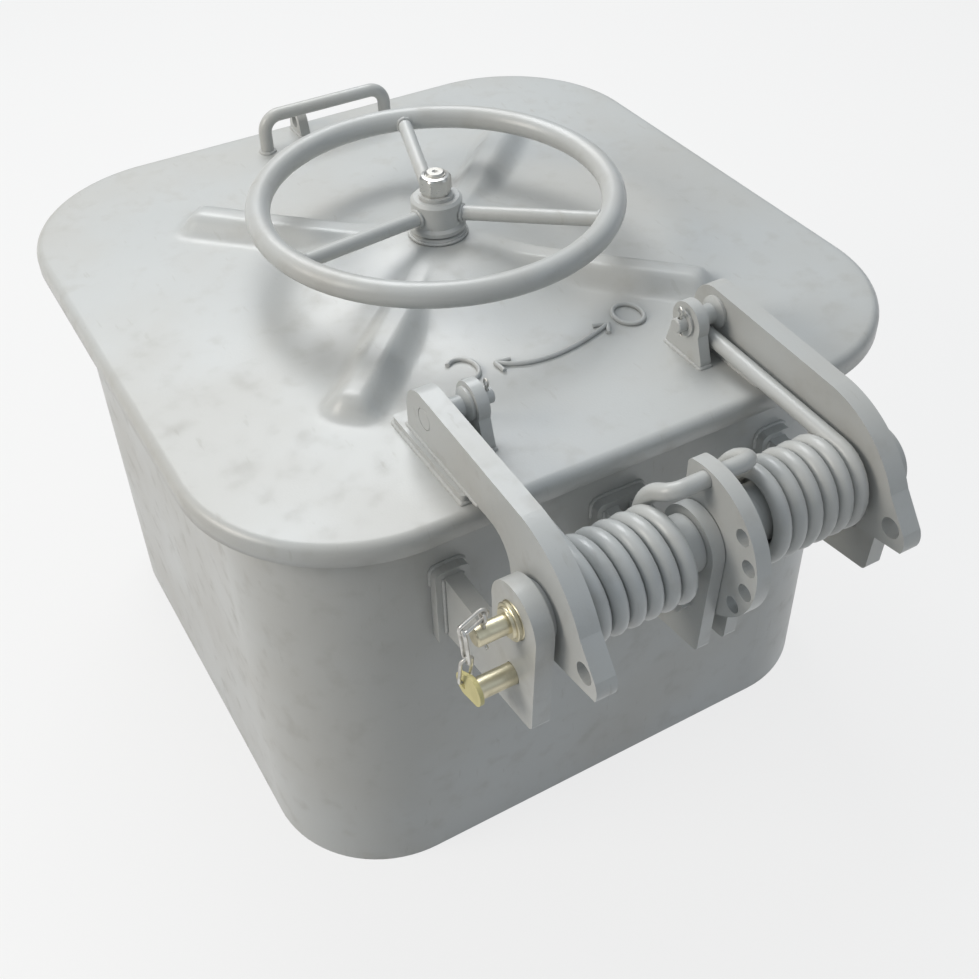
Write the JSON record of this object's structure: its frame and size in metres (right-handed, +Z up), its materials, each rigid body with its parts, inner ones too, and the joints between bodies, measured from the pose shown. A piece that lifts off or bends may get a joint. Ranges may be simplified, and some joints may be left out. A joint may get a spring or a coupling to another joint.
{
  "type": "watertight hatch",
  "caption": "Square quick-acting watertight hatch: rounded coaming, pressed cover on spring-loaded hinge arms, handwheel with sliding bolts and hold-open pin.",
  "frame": {"origin": "centre of the coaming's square outline, at its lower edge", "axes": "+Z up; +Y from the hinge side to the handle side; +X along the hinge shaft, to the right when seen from the hinge side"},
  "size_m": [0.762, 0.95, 0.609],
  "materials": {
    "grey_paint": "semi-gloss",
    "zinc_plate": "yellow zinc",
    "bright_steel": "bright",
    "bare_steel": "satin",
    "yellow_paint": "semi-gloss",
    "gasket_rubber": "matte"
  },
  "bodies": {
    "coaming": {"arm_spacers": "grey_paint", "centre_lug_left": "grey_paint", "centre_lug_right": "grey_paint", "coaming": "grey_paint", "dog_bracket_1": "grey_paint", "dog_bracket_2": "grey_paint", "dog_bracket_3": "grey_paint", "dog_bracket_4": "grey_paint", "hinge_lug_left": "grey_paint", "hinge_lug_right": "grey_paint", "hinge_shaft": "zinc_plate", "lug_pads": "grey_paint", "mandrel_left": "grey_paint", "mandrel_right": "grey_paint", "pin_chain": "bright_steel", "seat_bar": "grey_paint", "sector_bolt": "grey_paint", "sector_nut": "grey_paint", "shaft_cotters": "bright_steel", "shaft_washers": "grey_paint", "spring_left": "grey_paint", "spring_right": "grey_paint", "tension_sector": "grey_paint"},
    "cover": {"arm_left": "grey_paint", "arm_right": "grey_paint", "arm_foot_left": "grey_paint", "arm_foot_right": "grey_paint", "arm_pin_left": "grey_paint", "arm_pin_right": "grey_paint", "spool_left": "grey_paint", "spool_right": "grey_paint", "pin_washers": "grey_paint", "pin_cotters": "bright_steel", "cover_lug_left": "grey_paint", "cover_lug_right": "grey_paint", "cover_pan": "grey_paint", "spindle_gland": "grey_paint", "gasket_ribs": "grey_paint", "gasket": "gasket_rubber", "lifting_handle": "grey_paint", "rear_eye": "grey_paint", "dog_guide_1": "grey_paint", "dog_guide_2": "grey_paint", "dog_guide_3": "grey_paint", "dog_guide_4": "grey_paint"},
    "wheel": {"handwheel": "grey_paint", "wheel_washer": "grey_paint", "wheel_nut": "grey_paint", "spindle": "bare_steel", "cam_disc": "bare_steel", "inner_handle": "grey_paint"},
    "dog_1": {"dog_bolt_1": "bare_steel"},
    "dog_2": {"dog_bolt_2": "bare_steel"},
    "dog_3": {"dog_bolt_3": "bare_steel"},
    "dog_4": {"dog_bolt_4": "bare_steel"},
    "hold_pin": {"lock_pin": "zinc_plate", "pin_tab": "yellow_paint"}
  },
  "joints": [
    {"name": "cover_hinge", "type": "hinge", "parent": "coaming", "child": "cover", "pos_m": [0, -0.484, 0.484], "axis": [1, 0, 0], "range_deg": [0, 80], "stiffness_Nm_per_rad": 90, "springref_deg": 100.27, "deforming": ["spring_left", "spring_right"]},
    {"name": "wheel_turn", "type": "hinge", "parent": "cover", "child": "wheel", "pos_m": [0, 0, 0.5794], "axis": [0, 0, -1], "range_deg": [0, 90]},
    {"name": "dog_1_slide", "type": "slide", "parent": "cover", "child": "dog_1", "axis": [0.7071, 0.7071, 0], "range_m": [0, 0.036]},
    {"name": "dog_2_slide", "type": "slide", "parent": "cover", "child": "dog_2", "axis": [-0.7071, 0.7071, 0], "range_m": [0, 0.036]},
    {"name": "dog_3_slide", "type": "slide", "parent": "cover", "child": "dog_3", "axis": [-0.7071, -0.7071, 0], "range_m": [0, 0.036]},
    {"name": "dog_4_slide", "type": "slide", "parent": "cover", "child": "dog_4", "axis": [0.7071, -0.7071, 0], "range_m": [0, 0.036]},
    {"name": "hold_pin_slide", "type": "slide", "parent": "coaming", "child": "hold_pin", "axis": [-1, 0, 0], "range_m": [-0.034, 0.035], "deforming": ["pin_chain"]}
  ],
  "couplings": [
    {"joint": "dog_1_slide", "follows": "wheel_turn", "m_per_rad": 0.022918},
    {"joint": "dog_2_slide", "follows": "wheel_turn", "m_per_rad": 0.022918},
    {"joint": "dog_3_slide", "follows": "wheel_turn", "m_per_rad": 0.022918},
    {"joint": "dog_4_slide", "follows": "wheel_turn", "m_per_rad": 0.022918}
  ]
}
